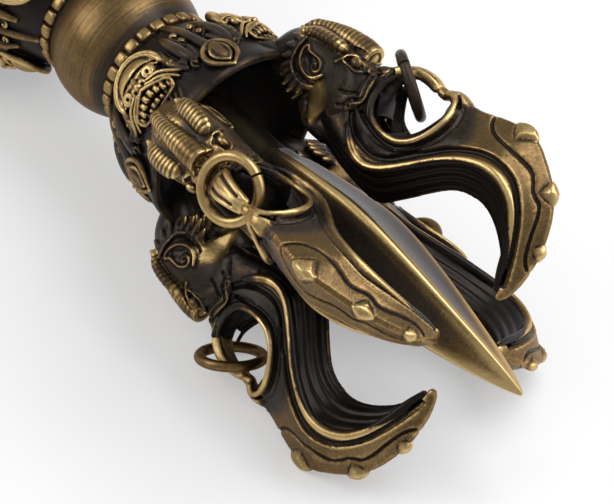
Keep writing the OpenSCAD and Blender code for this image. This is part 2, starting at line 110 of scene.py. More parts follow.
class Clay:
    # signed distance on a grid, below 0 inside the metal; halved axes start half a step above 0
    def __init__(self, low, high, step, halved=(1,)):
        self.step = step
        self.low = np.array([step / 2 if k in halved else low[k] for k in range(3)])
        self.shape = [int(math.ceil((high[k] - self.low[k]) / step)) + 1 for k in range(3)]
        self.field = np.full(self.shape, 6, np.float32)
        self.halved = halved

    def window(self, low=(-99, -99, -99), high=(999, 999, 999)):
        # slices of the grid inside a box, or of all of it, and x, t and r along them
        first = [max(0, int((low[k] - self.low[k]) / self.step)) for k in range(3)]
        last = [min(self.shape[k], int(math.ceil((high[k] - self.low[k]) / self.step)) + 1) for k in range(3)]
        line = [(self.low[k] + self.step * np.arange(first[k], last[k])).astype(np.float32) for k in range(3)]
        return tuple(slice(a, b) for a, b in zip(first, last)), *np.ix_(*line)

    def sweep(self, line, reach, flat):
        thick = line[:, 3].max() + reach
        cut = self.window(line[:, :3].min(0) - thick, line[:, :3].max(0) + thick)[0]
        out = np.full([s.stop - s.start for s in cut], reach, np.float32)
        for a, b in zip(line, line[1:]):
            part, x, t, r = self.window(np.minimum(a, b)[:3] - thick, np.maximum(a, b)[:3] + thick)
            inner = tuple(slice(s.start - c.start, s.stop - c.start) for s, c in zip(part, cut))
            along = (b - a)[:3]
            px, pt, pr = x - a[0], t - a[1], r - a[2]
            h = np.clip((px * along[0] + pt * along[1] + pr * along[2]) / max(along @ along, 1e-9), 0, 1)
            dist = np.sqrt((px - h * along[0]) ** 2 + ((pt - h * along[1]) * flat) ** 2
                           + (pr - h * along[2]) ** 2) - (a[3] + h * (b[3] - a[3]))
            np.minimum(out[inner], dist, out=out[inner])
        return cut, out

    def blendIn(self, cut, dist, blend, sign=1):
        # sign -1 takes the form away
        self.field[cut] = sign * softMin(sign * self.field[cut], dist, blend)

    def add(self, points, blend=0.3, flat=1, ribs=None, stop=None):
        line = smoothLine(points, 0.22 if ribs else 0.6)
        if ribs:
            pitch, depth = ribs
            line[:, 3] *= 1 + depth * np.cos(2 * math.pi * walkAlong(line[:, :3]) / pitch)
        cut, dist = self.sweep(line, 1 + blend, flat)
        if stop:
            x = self.low[0] + self.step * np.arange(cut[0].start, cut[0].stop)
            dist = np.maximum(dist, x[:, None, None] - stop)
        self.blendIn(cut, dist, blend)

    def carve(self, points, blend=0.15, flat=1):
        self.blendIn(*self.sweep(smoothLine(points), 1 + blend, flat), blend, -1)

    def ball(self, centre, radii, blend=0.4, power=2, sign=1):
        radii = np.array(radii, float)
        cut, x, t, r = self.window(np.array(centre) - radii - 1.5, np.array(centre) + radii + 1.5)
        u = [np.abs(v - c) / size for v, c, size in zip((x, t, r), centre, radii)]
        k = np.maximum(u[0] ** power + u[1] ** power + u[2] ** power, 1e-6) ** (1 / power)
        slope = np.sqrt(sum((v ** (power - 1) / size) ** 2 for v, size in zip(u, radii))) * k ** (1 - power)
        self.blendIn(cut, (k - 1) / np.maximum(slope, 1e-4), blend, sign)

    def plate(self, outline, depths, edge, blend):
        # a flat piece across the middle: outline as seen from the side, with a half depth at each r
        line = np.array(outline, float)
        rs, ts = np.array(depths).T
        half = np.interp(line[:, 1], rs, ts)
        line = line + half[:, None] * np.array(viewSlope)
        cut, x, t, r = self.window((line[:, 0].min() - 2, 0, line[:, 1].min() - 2),
                                   (line[:, 0].max() + 2, ts.max() + 2, line[:, 1].max() + 2))
        flatX, flatR = np.broadcast_arrays(x[:, 0], r[:, 0])
        side = np.ones(flatX.shape)
        line = np.vstack([line, line[:1]])
        for (ax, ar), (bx, br) in zip(line, line[1:]):
            crossed = ((ar > flatR) != (br > flatR)) & (flatX < (bx - ax) * (flatR - ar) / (br - ar + 1e-9) + ax)
            side[crossed] *= -1
        flat = (lineDistance(flatX, flatR, line) * side + edge)[:, None, :]
        deep = t - (np.interp(r, rs + viewSlope[1] * ts, ts) - edge)
        dist = np.hypot(np.maximum(flat, 0), np.maximum(deep, 0)) + np.minimum(np.maximum(flat, deep), 0) - edge
        self.blendIn(cut, dist, blend)

    def relief(self, plan):
        # drawn lines stand out where the metal faces sideways
        slope = np.abs(np.gradient(self.field, self.step, axis=1))
        self.field -= rise(slope, 0.2, 0.35) * plan.height[plan.under(*self.window()[1:])]

    def whole(self):
        full, low = self.field, self.low.copy()
        for k in self.halved:
            full = np.concatenate([np.flip(full, k), full], k)
            low[k] = -(self.shape[k] - 0.5) * self.step
        return full, low


class Plan:
    # a drawing board for the side view: height of drawn lines in mm, and how far the gilt is rubbed
    def __init__(self, low, high, step=0.1):
        self.low, self.step = low, step
        self.shape = [int((b - a) / step) + 1 for a, b in zip(low, high)]
        self.height, self.gilt = np.zeros((2, *self.shape), np.float32)

    def under(self, x, t, r):
        # the places on the board of points of the near side
        return (nearest(x - viewSlope[0] * t, self.low[0], self.step, self.shape[0]),
                nearest(r - viewSlope[1] * t, self.low[1], self.step, self.shape[1]))

    def distance(self, points, reach):
        line = smoothLine(points, 0.12)
        out = np.full(self.shape, reach, np.float32)
        k = int(reach / self.step) + 1
        for x, r in line[:, :2]:
            i, j = int((x - self.low[0]) / self.step), int((r - self.low[1]) / self.step)
            i0, i1, j0, j1 = max(0, i - k), min(self.shape[0], i + k), max(0, j - k), min(self.shape[1], j + k)
            px = self.low[0] + self.step * np.arange(i0, i1)[:, None] - x
            pr = self.low[1] + self.step * np.arange(j0, j1)[None, :] - r
            np.minimum(out[i0:i1, j0:j1], np.sqrt(px ** 2 + pr ** 2), out=out[i0:i1, j0:j1])
        return out

    def groove(self, points, width, depth):
        dist = self.distance(points, width * 2)
        self.height -= depth * np.clip(1 - (dist / width) ** 2, 0, 1)

    def bead(self, points, width, height):
        dist = self.distance(points, width * 2)
        self.height += height * np.sqrt(np.clip(1 - (dist / width) ** 2, 0, 1))

    def rub(self, points, width, value):
        dist = self.distance(points, width)
        share = np.clip(1.4 * (1 - dist / width), 0, 1)
        self.gilt += (value - self.gilt) * share


def draw(board, forms):
    # each form is the name of a stroke of clay or plan, then what it takes
    for word, *takes in forms:
        getattr(board, word)(*takes)


def surfaceNet(field, low, step):
    inside = field < 0
    shape = np.array(field.shape) - 1
    count = np.zeros(shape, np.int8)
    for i, j, k in np.ndindex(2, 2, 2):
        count += inside[i:shape[0] + i, j:shape[1] + j, k:shape[2] + k]
    mixed = (count > 0) & (count < 8)
    number = np.full(shape, -1, np.int32)
    number[mixed] = np.arange(mixed.sum())
    total = np.zeros((int(mixed.sum()), 3))
    hits = np.zeros(len(total))
    quads = []
    for axis in range(3):
        a = [slice(None)] * 3
        b = [slice(None)] * 3
        a[axis], b[axis] = slice(0, -1), slice(1, None)
        f0, f1 = field[tuple(a)], field[tuple(b)]
        where = np.argwhere((f0 < 0) != (f1 < 0))
        v0, v1 = f0[tuple(where.T)], f1[tuple(where.T)]
        spot = where.astype(float)
        spot[:, axis] += v0 / (v0 - v1)
        j, k = (axis + 1) % 3, (axis + 2) % 3
        corners = []
        for dj, dk in ((1, 1), (0, 1), (0, 0), (1, 0)):
            cell = where.copy()
            cell[:, j] -= dj
            cell[:, k] -= dk
            fine = ((cell >= 0) & (cell < shape)).all(1)
            n = np.full(len(cell), -1)
            n[fine] = number[tuple(cell[fine].T)]
            corners.append(n)
            for c in range(3):
                total[:, c] += np.bincount(n[n >= 0], spot[n >= 0, c], len(total))
            hits += np.bincount(n[n >= 0], minlength=len(total))
        quad = np.column_stack(corners)
        turned = v0 >= 0
        quad[turned] = quad[turned][:, ::-1]
        quads.append(quad[(quad >= 0).all(1)])
    return low + step * total / hits[:, None], np.vstack(quads)


def blur(field, cells):
    out = field
    for axis in range(3):
        for _ in (0, 1):
            pad = [(cells + 1, cells) if k == axis else (0, 0) for k in range(3)]
            total = np.cumsum(np.pad(out, pad, mode="edge"), axis=axis, dtype=np.float32)
            high = [slice(None)] * 3
            base = [slice(None)] * 3
            high[axis], base[axis] = slice(2 * cells + 1, None), slice(0, -2 * cells - 1)
            out = (total[tuple(high)] - total[tuple(base)]) / (2 * cells + 1)
    return out


def sample(field, low, step, points):
    p = (points - low) / step
    base = np.clip(np.floor(p).astype(int), 0, np.array(field.shape) - 2)
    f = np.clip(p - base, 0, 1)
    out = 0
    for corner in np.ndindex(2, 2, 2):
        out = out + np.where(corner, f, 1 - f).prod(1) * field[tuple((base + corner).T)]
    return out


def newObject(name, data):
    obj = bpy.data.objects.new(name, data)
    bpy.context.scene.collection.objects.link(obj)
    return obj


def newMesh(name, points, faces):
    faces = np.asarray(faces)
    sides = faces.shape[1]
    mesh = bpy.data.meshes.new(name)
    mesh.vertices.add(len(points))
    mesh.vertices.foreach_set("co", np.asarray(points, np.float32).ravel())
    mesh.loops.add(faces.size)
    mesh.loops.foreach_set("vertex_index", faces.astype(np.int32).ravel())
    mesh.polygons.add(len(faces))
    mesh.polygons.foreach_set("loop_start", np.arange(0, faces.size, sides, dtype=np.int32))
    mesh.polygons.foreach_set("use_smooth", np.ones(len(faces), bool))
    mesh.update(calc_edges=True)
    mesh.validate()
    return mesh


def thin(points, faces, share):
    # fewer faces where the form is calm
    mesh = newMesh("roughCast", points, faces)
    obj = newObject("roughCast", mesh)
    obj.modifiers.new("thin", "DECIMATE").ratio = share
    done = obj.evaluated_get(bpy.context.evaluated_depsgraph_get())
    out = done.to_mesh()
    out.calc_loop_triangles()
    co = np.empty(len(out.vertices) * 3, np.float32)
    out.vertices.foreach_get("co", co)
    tri = np.empty(len(out.loop_triangles) * 3, np.int32)
    out.loop_triangles.foreach_get("vertices", tri)
    done.to_mesh_clear()
    bpy.data.objects.remove(obj)
    bpy.data.meshes.remove(mesh)
    return co.reshape(-1, 3).astype(float), tri.reshape(-1, 3)


def pointNormals(points, tri):
    a, b, c = points[tri[:, 0]], points[tri[:, 1]], points[tri[:, 2]]
    n = np.cross(b - a, c - a)
    out = np.zeros_like(points)
    for k in range(3):
        for axis in range(3):
            out[:, axis] += np.bincount(tri[:, k], n[:, axis], len(points))
    return out / np.maximum(np.linalg.norm(out, axis=1), 1e-9)[:, None]


def nearLine(points, rows, gap=0.4):
    # distance of each point from a line given as x, t, r, and how far along the line it is
    points = np.column_stack([points[:, 0], np.abs(points[:, 1]), points[:, 2]])
    out, along = np.full(len(points), 99), np.zeros(len(points))
    line = smoothLine(rows, gap)[:, :3]
    for spot, way in zip(line, walkAlong(line)):
        far = np.linalg.norm(points - spot, axis=1)
        along[far < out] = way
        out = np.minimum(out, far)
    return out, along


def fire(clay, share):
    # turns the clay into a thinned mesh with what its finish needs at each point
    full, low = clay.whole()
    points, quads = surfaceNet(full, low, clay.step)
    points, tri = thin(points, quads, share)
    solid = (full < 0).astype(np.float32)
    normal = pointNormals(points, tri)
    near = sample(blur(solid, max(1, round(0.45 / clay.step))), low, clay.step, points)
    wide = sample(blur(solid, round(1.5 / clay.step)), low, clay.step, points + 0.7 * normal)
    return {"points": points, "tri": tri, "normal": normal, "bulge": 0.5 - near, "open": 0.5 - wide}


def raised(made, edge):
    return np.clip(made["bulge"] - edge, 0, 0.25)


def hollow(made, edge, strength, shut, gloom):
    # how much darker in grooves, and where the form closes over
    return np.clip(-edge - made["bulge"], 0, 0.2) * strength + np.clip(shut - made["open"], 0, 0.4) * gloom


class Mark:
    # a socket that takes part in sums
    def __init__(self, ink, socket):
        self.ink, self.socket = ink, socket

    def join(self, kind, a, b):
        return self.ink.node("ShaderNodeMath", {"operation": kind}, {0: a, 1: b})

    def __add__(self, other): return self.join("ADD", self, other)
    def __radd__(self, other): return self.join("ADD", other, self)
    def __sub__(self, other): return self.join("SUBTRACT", self, other)
    def __rsub__(self, other): return self.join("SUBTRACT", other, self)
    def __mul__(self, other): return self.join("MULTIPLY", self, other)
    def __rmul__(self, other): return self.join("MULTIPLY", other, self)

    def ramp(self, low, high):
        # 0 below low, 1 above high, eased between
        return self.ink.node("ShaderNodeMapRange", {"interpolation_type": "SMOOTHSTEP"},
                             {"Value": self, "From Min": low, "From Max": high})


class Ink:
    # the node tree of one material
    def __init__(self, name):
        self.material = bpy.data.materials.new(name)
        self.material.use_nodes = True
        self.nodes = self.material.node_tree.nodes
        self.links = self.material.node_tree.links
        self.shader = self.nodes["Principled BSDF"]

    def node(self, kind, settings={}, sockets={}, out=0):
        node = self.nodes.new(kind)
        for key, value in settings.items():
            setattr(node, key, value)
        for key, value in sockets.items():
            self.plug(value, node.inputs[key])
        return Mark(self, node.outputs[out])

    def plug(self, value, socket):
        if isinstance(value, Mark):
            self.links.new(value.socket, socket)
        else:
            socket.default_value = value

    def mix(self, share, a, b):
        return self.node("ShaderNodeMix", {"data_type": "RGBA"}, {0: share, 6: a, 7: b}, 2)

    def noise(self, vector, scale, detail, roughness):
        return self.node("ShaderNodeTexNoise", {}, {"Vector": vector, "Scale": scale, "Detail": detail,
                                                    "Roughness": roughness})

    def feed(self, key, value):
        self.plug(value, self.shader.inputs[key])


def tint(red, green, blue):
    return (red, green, blue, 1)


antiqueBrass = {
    "black": tint(0.0045, 0.004, 0.004), "umber": tint(0.036, 0.025, 0.016), "bronze": tint(0.20, 0.125, 0.05),
    "gilt": tint(0.60, 0.43, 0.19), "roughDark": 0.33, "roughGilt": 0.36, "brush": 0.22,
    # how far each noise moves the gilt, and the strength and depth of the bumps in metres
    "blotch": 0.22, "streak": 1.7, "speck": 0.14, "bump": 0.3, "bumpDepth": 0.00005}


def brassMaterial(name, spec, gilt=None, lines=None):
    # near-black patina in the hollows, brushed metal where hands and cloth rub
    ink = Ink(name)
    place = ink.node("ShaderNodeTexCoord", out="Object")
    if gilt is None:
        grain = ink.node("ShaderNodeAttribute", {"attribute_name": "grain"}, out="Vector")
        gilt = ink.node("ShaderNodeAttribute", {"attribute_name": "gilt"}, out="Fac")
    else:
        grain = ink.node("ShaderNodeVectorMath", {"operation": "MULTIPLY"}, {0: place, 1: lines})
        if "dark" in spec:
            # painted shade next to the bead rings, partly patina there: darker away from the middle of its length,
            # between the two squares of x in mm
            away = ink.node("ShaderNodeSeparateXYZ", {}, {"Vector": place})
            gilt = gilt - (away * away * 1e6).ramp(*spec["dark"]) * spec["darker"]
    blotch = ink.noise(place, 150, 4, 0.6)
    speck = ink.noise(place, 1300, 3, 0.6)
    streak = ink.noise(grain, 1, 3, 0.65)
    rubbed = (gilt + (blotch - 0.5) * spec["blotch"] + (streak - 0.5) * spec["brush"] * spec["streak"]
              + (speck - 0.5) * spec["speck"])
    umber = ink.mix(rubbed.ramp(0.08, 0.36), spec["black"], spec["umber"])
    bronze = ink.mix(rubbed.ramp(0.3, 0.58), umber, spec["bronze"])
    ink.feed("Base Color", ink.mix(rubbed.ramp(0.48, 0.9), bronze, spec["gilt"]))
    ink.feed("Metallic", rubbed.ramp(0.26, 0.55))
    ink.feed("Roughness", (streak - 0.5) * spec["brush"] + (speck - 0.5) * 0.1
             + rubbed.ramp(0.3, 0.8) * (spec["roughGilt"] - spec["roughDark"]) + spec["roughDark"])
    ink.feed("Specular IOR Level", 0.22)
    ink.feed("Specular Tint", tint(1, 0.84, 0.72))
    ink.feed("Normal", ink.node("ShaderNodeBump", {}, {
        "Strength": spec["bump"], "Distance": spec["bumpDepth"], "Height": streak * (spec["brush"] * 5) + speck * 0.4}))
    return ink.material


castBrass = brassMaterial("castBrass", antiqueBrass)


def cosSin(degrees):
    return math.cos(math.radians(degrees)), math.sin(math.radians(degrees))


def cast(name, node, made, side, turn=0, back=1):
    # turned about the long axis; side -1 is the left end, back -1 the mirror image behind it
    c, s = cosSin(turn)
    x, t, r = made["points"].T
    points = np.column_stack([x * side, (t * c - r * s) * back, t * s + r * c + axisHeight]) * mm
    mesh = newMesh(name, points, made["tri"][:, ::-1] if side * back < 0 else made["tri"])
    for key, kind, word in (("gilt", "FLOAT", "value"), ("grain", "FLOAT_VECTOR", "vector")):
        mesh.attributes.new(key, kind, "POINT").data.foreach_set(word, made[key].astype(np.float32).ravel())
    mesh.materials.append(castBrass)
    obj = newObject(name, mesh)
    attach(obj, "root")
    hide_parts(node)


def castBoth(name, node, made, turn=0):
    for end, side in ends.items():
        cast(f"{name}_{end}", f"{node}_{end}", made, side, turn)
    report(f"{name}: {len(made['tri'])} faces, at both ends")


def castEight(name, node, made, wear=None):
    # wear adds gilt at a spot, where the piece says it shows
    for end, side in ends.items():
        for spot, (turn, back) in spots.items():
            worn = dict(made, gilt=made["gilt"] + wear[spot] * made["brow"]) if wear else made
            cast(f"{name}_{end}_{spot}", f"{node}_{end}_{spot}", worn, side, turn, back)
    report(f"{name}: {len(made['tri'])} faces, eight in place")


def streaks(points, along, stretch=0.25, fine=3.2):
    # brushed lines run in the x-r plane at the angle given
    c, s = cosSin(along)
    u = points[:, 0] * c + points[:, 2] * s
    v = -points[:, 0] * s + points[:, 2] * c
    return np.column_stack([u * stretch, points[:, 1] * fine, v * fine])


hookedProng = {
    # ridge x, r and half width, rim x, r and half width, keel x and r, all from the middle of the sphere
    "rows": [
        (51, 23.2, 4.2, 51, 17.4, 4.6, 50.8, 11.8), (54.6, 23.4, 5.2, 54.6, 17, 5, 54.6, 11.2),
        (58, 22, 5.8, 58, 16, 5.6, 59, 10.2), (62.5, 21.2, 6.2, 63.5, 15.2, 6, 65, 9.5),
        (66.5, 22.4, 5.6, 69, 16.8, 6, 70.5, 9.7), (69.6, 26.2, 2.4, 73.5, 20.3, 6, 74.5, 13.2),
        (71.4, 31.2, 0.9, 77.5, 24.4, 6, 78.5, 17.4), (72.2, 35.2, 1, 80, 26.6, 5.9, 81.2, 20),
        (75, 35.9, 1, 82, 28, 5.8, 83, 21.3), (78.5, 36.5, 0.9, 84, 29.3, 5.8, 85, 22.2),
        (83, 38, 0.7, 87, 30.4, 5.8, 87.3, 22.7), (88.5, 39.3, 0.6, 89.5, 30.7, 5.8, 89.5, 22.9),
        (92, 38.8, 0.6, 92.5, 30.2, 5.6, 92.2, 22.4), (96, 36.8, 0.6, 96, 28.4, 5.2, 95.2, 21),
        (100, 34, 0.6, 99.3, 25.8, 4.6, 98, 19),
        (103, 30.6, 0.6, 101.8, 22.5, 4, 100, 17), (105.2, 26, 0.6, 103.2, 19, 3.3, 101.4, 15.2),
        (106.4, 21, 0.6, 104, 16, 2.6, 102.4, 13.6), (106.5, 16, 0.6, 104.4, 13.4, 2, 103.2, 12.2),
        (105.6, 12.2, 0.5, 104.2, 11.4, 1.5, 103.6, 11.1), (104.7, 10.8, 0.4, 104, 10.7, 0.9, 103.7, 10.6)],
    # share of the way from rim to ridge or keel, and of the half width between
    "outward": [(0, 1), (0.15, 1), (0.3, 0.9), (0.46, 0.72), (0.62, 0.5), (0.8, 0.27), (1, 0)],
    "inward": [(0, 1), (0.25, 0.9), (0.5, 0.62), (0.8, 0.34), (1, 0.1)],
    "rim": [(54.6, 17.8, 5.3, 0.3), (55.6, 16.6, 5.8, 0.7), (57.5, 14.8, 6, 0.9), (60, 13.5, 6, 0.95),
        (63, 13.2, 6, 0.95), (66, 14.4, 6, 0.95), (69, 16.8, 6, 0.95), (72, 19.6, 6, 0.95), (75, 22.4, 6, 0.95),
        (78, 24.8, 5.9, 0.95), (82, 27.2, 5.8, 1), (86, 28.5, 5.7, 1), (90, 28.3, 5.4, 1), (94, 26.6, 4.8, 0.96),
        (97, 23.7, 4, 0.92), (99.2, 19.8, 3.1, 0.86), (101, 15.3, 2.1, 0.78), (102.7, 12, 1.1, 0.6)],
    "eyelet": [(70.6, 35.1, 1.2, 0.5), (71.9, 34.2, 2.6, 0.55), (72.4, 32.2, 4, 0.55), (72.1, 29.4, 5.4, 0.55),
        (70.9, 26.2, 6.3, 0.55), (69, 23.2, 6.8, 0.55), (66.2, 21, 6.8, 0.55), (63, 20.3, 6.6, 0.5),
        (60, 20.6, 6.3, 0.5), (57.5, 22, 5.9, 0.42), (56.3, 24.8, 5.4, 0.4), (56.4, 28, 4.3, 0.4),
        (57.3, 30.2, 3.6, 0.4)],
    "eyeletCentre": (63.4, 28),
    # outwards and inwards of the line, thickness, blend, last row
    "eyeletWall": [(1.1, 1.3, 0.8, 0.9, -1), (0.5, 0.5, 0.6, 0.6, -1), (1.3, 3.4, 1.1, 1, None)],
    "floor": [(57.6, 24.4), (59.4, 22.3), (62.5, 21.2), (66.2, 22.2), (69, 26), (70.6, 31)],
    "groove": [(53.6, 20), (55.4, 17.9), (58, 16.4), (61, 15.6), (64, 15.8), (67, 17.3), (70, 20), (72, 22),
        (76, 25.7), (80, 28.4), (84, 30.1), (88, 30.5), (92, 29.7), (95, 27.7), (98, 24.5), (101, 19.4),
        (103, 14.9), (103.6, 13.4)],
    "wave": [(81.4, 38.6), (81.2, 36.5), (82, 35), (84, 34.2), (88, 34), (92, 33.9), (94.5, 33.5), (96, 32.3),
        (97, 31), (98.3, 30.2), (100, 29.5), (101.2, 27.5), (102.3, 24), (103.5, 21), (104.5, 19.5), (105.8, 18.6)],
    "eyeletLine": [
        [(55.4, 20.9), (57, 20.1), (60, 19.4), (63, 19.1), (66.4, 19.8), (69.6, 22.2), (72, 25.6), (73.4, 29),
         (73.7, 32), (73.1, 34.4), (71.8, 35.9)],
        [(68, 19.4), (70.8, 22), (73, 25.2), (74.8, 29), (75.2, 32), (74.6, 34.4)]],
    # boss x, r, turn of the ridge, half length and half width over the ridge
    "bosses": [(89, 38.9, 3, 3.3, 2.5), (101, 33, 45, 2.7, 2), (106, 22.8, 80, 2, 1.5)],
    # where it is rubbed: line, reach, and the gilt left there
    "rubs": [
        ("rub", [(74, 36), (76, 33.5), (76.5, 30), (74, 26), (70.5, 22)], 3.4, 0.2),
        ("rub", [(50, 19), (54, 20.5), (57, 18.8), (60, 18), (63, 17.8), (66, 18.8), (69, 20.6)], 3.2, 0.1),
        ("rub", [(48, 16), (50, 13), (54, 12)], 4, 0.02),
        ("rub", [(59, 24), (60, 30)], 4, 0.05)],
    "mouthRubs": [
        ("rub", [(68.6, 33.6), (69.6, 35), (72, 36), (74.6, 36.6)], 1.6, 0.66),
        ("rub", [(51.5, 21), (54, 18.6), (56.2, 16.6)], 2.2, 0.04)],
    "reach": 40.75, "bossEdge": 0.45, "bossTop": 1.2,
    "box": ((50.5, 0, 8), (108.6, 9, 42.4)), "step": 0.22, "keep": 0.32, "board": ((48, 8), (110, 44)), "brushed": 52}


def fillTriangle(board, low, step, corners):
    # corners hold x, r and then the values to spread
    c = np.array(corners)
    first = np.maximum(((c[:, :2].min(0) - low) / step).astype(int), 0)
    last = np.minimum(((c[:, :2].max(0) - low) / step).astype(int) + 2, board.shape[:2])
    x = low[0] + step * np.arange(first[0], last[0])[:, None]
    r = low[1] + step * np.arange(first[1], last[1])[None, :]
    (ax, ar), (bx, br), (cx, cr) = c[:, :2]
    area = (bx - ax) * (cr - ar) - (cx - ax) * (br - ar)
    wb = ((x - ax) * (cr - ar) - (cx - ax) * (r - ar)) / area
    wc = ((bx - ax) * (r - ar) - (x - ax) * (br - ar)) / area
    wa = 1 - wb - wc
    hit = (wa >= -0.02) & (wb >= -0.02) & (wc >= -0.02)
    part = board[first[0]:last[0], first[1]:last[1]]
    for k in range(board.shape[2]):
        value = wa * c[0, 2 + k] + wb * c[1, 2 + k] + wc * c[2, 2 + k]
        part[..., k][hit] = value[hit]


def prongBoard(clay, spec):
    # half thickness and place between keel (-1), rim (0) and ridge (1) over the side view
    rows = smoothLine(spec["rows"], 0.6)
    low = np.array([clay.low[0], clay.low[2]])
    board = np.full((clay.shape[0], clay.shape[2], 2), np.nan)
    for a, b in zip(rows, rows[1:]):
        for sign, steps, base in ((1, spec["outward"], 0), (-1, spec["inward"], 6)):
            for (u0, w0), (u1, w1) in zip(steps, steps[1:]):
                corners = []
                for row in (a, b):
                    for u, w in ((u0, w0), (u1, w1)):
                        thin = row[2] if sign > 0 else 0
                        corners.append(np.r_[row[3:5] + (row[base:base + 2] - row[3:5]) * u,
                                             thin + (row[5] - thin) * w, sign * u])
                fillTriangle(board, low, clay.step, (corners[0], corners[1], corners[3]))
                fillTriangle(board, low, clay.step, (corners[0], corners[3], corners[2]))
    x, r = (low[k] + clay.step * np.arange(board.shape[k]) for k in (0, 1))
    near = lineDistance(x[:, None], r, np.vstack([rows[:, 0:2], rows[::-1, 6:8]]))
    outside = np.isnan(board[..., 0])
    board[..., 0][outside] = -near[outside]
    return board[..., 0], np.nan_to_num(board[..., 1]), near, outside


def modelProng(spec):
    clay = Clay(*spec["box"], spec["step"])
    half, share, near, outside = prongBoard(clay, spec)
    gx, gr = np.gradient(np.where(outside, 0, half), clay.step)
    lean = np.where(outside, 1, np.sqrt(1 + np.minimum(gx ** 2 + gr ** 2, 3)))
    _, x, t, r = clay.window()
    inner = (t - half[:, None, :]) / lean[:, None, :]
    inner = np.maximum(inner, -near[:, None, :] - 0.3)
    outer = np.hypot(near[:, None, :], np.maximum(t - 0.6, 0))
    clay.field[:] = np.clip(np.where(outside[:, None, :], outer, inner), -6, 6)
    # folds run along the dark inner faces
    folds = 0.13 * np.cos((share + 0.28) * 2 * math.pi * 4.2) * rise(share, -0.28, -0.1) * (share > -0.92)
    clay.field -= folds[:, None, :].astype(np.float32)
    # low cushions set cornerwise along the ridge
    for bx, br, turn, length, width in spec["bosses"]:
        c, s = cosSin(turn)
        cut, px, pt, pr = clay.window((bx - 5, 0, br - 5), (bx + 5, 5, br + 5))
        a = (px - bx) * c - (pr - br) * s
        up = (px - bx) * s + (pr - br) * c
        q = ((np.abs(a) / length) ** 1.12 + (pt / width) ** 1.12) ** (1 / 1.12) + np.clip(-up - 3.4, 0, 9)
        lift = spec["bossEdge"] * rise(q, 1, -0.14)
        lift = lift + (spec["bossTop"] - spec["bossEdge"]) * np.clip(1 - q ** 2, 0, 1)
        clay.field[cut] -= lift - 0.16 * np.clip(1 - np.abs(q - 1.06) / 0.1, 0, 1)
    # the wall of the eyelet: a trough between two thin rims
    rim = np.array(spec["eyelet"])
    place, deep = rim[:, :2], rim[:, 2]
    away = np.array([d / np.linalg.norm(d) for d in place - spec["eyeletCentre"]])
    for out, sunk, thick, blend, last in spec["eyeletWall"]:
        rows = np.column_stack([place + out * away, np.maximum(0.2, deep - sunk), np.full(len(rim), thick)])
        clay.add(seen(rows[2:last]), blend)
    foot = (place + deep[:, None] * viewSlope + 1.5 * away)[7:]
    wall = [(x, 0, r, 1.4) for x, r in foot]
    clay.add(wall[:4], 0.5, 0.24)
    clay.add(wall[3:], 0.5, 0.44)
    clay.carve([(px, 0, pr, 1.5) for px, pr in spec["floor"]], 0.5, 0.3)
    clay.add(seen(spec["eyelet"]), 0.1)
    clay.add(seen(spec["rim"]), 0.25)
    # the pad where the trunk meets the prong
    clay.add([(68.5, 0, 34.3, 1.1), (69.4, 0, 34.3, 1.1)], 0.15, 0.9)
    clay.add([(70.6, 0, 34.9, 1.1), (72.4, 0, 35.4, 1.35), (74.6, 0, 35.3, 1.2)], 0.5, 0.62)
    plan = Plan(*spec["board"])
    plan.groove(spec["groove"], 0.8, 0.8)
    plan.groove(spec["wave"], 0.52, 0.55)
    plan.groove(spec["eyeletLine"][0], 0.5, 0.6)
    plan.groove(spec["eyeletLine"][1], 0.35, 0.2)
    plan.bead([(a + 0.5, b + 0.95) if a < 96 else (a + 0.9, b + 0.3) for a, b in spec["groove"][7:-1]], 0.3, 0.2)
    clay.relief(plan)
    _, x, t, r = clay.window()
    clay.field = np.maximum(clay.field, (r + t - spec["reach"]) * 0.7)
    made = fire(clay, spec["keep"])
    # where the gilt shows
    p = made["points"]
    x, t, r = p[:, 0], np.abs(p[:, 1]), p[:, 2]
    band = share[nearest(x, clay.low[0], clay.step, clay.shape[0]), nearest(r, clay.low[2], clay.step, clay.shape[2])]
    plan.gilt[:] = 0.46
    draw(plan, spec["rubs"])
    plan.rub(spec["rim"][3:], 1, 0.74)
    plan.rub(spec["eyelet"][1:8], 0.7, 0.72)
    plan.rub(spec["eyelet"][9:], 1.2, 0.1)
    draw(plan, spec["mouthRubs"])
    paint = plan.gilt[plan.under(x, t, r)]
    for bx, br, turn, length, width in spec["bosses"]:
        far = np.hypot(np.hypot(x - bx, r - br), t * length / width)
        paint = paint + (0.66 - paint) * rise(far, length, -0.6)
    inside = rise(band, -0.16, -0.08)
    gilt = (paint + raised(made, 0.05) * (0.3 + 3.2 * paint)) * (1 - inside) - hollow(made, 0.04, 9, 0.02, 1.2)
    # dark in the throat of the eyelet
    throat = np.clip(4 - 4 * np.hypot((x - 65.5) / 10.5, (r - 28) / 8.6) ** 4, 0, 1)
    throat *= rise(nearLine(p, seen(spec["eyelet"]))[0], 0.5, 0.5) * rise(r, 33, -1) * rise(x, 76, -1.5)
    return dict(made, gilt=np.clip(gilt * (1 - throat), 0, 1), grain=streaks(p, spec["brushed"]))


castEight("hookedProng", "prong", modelProng(hookedProng))


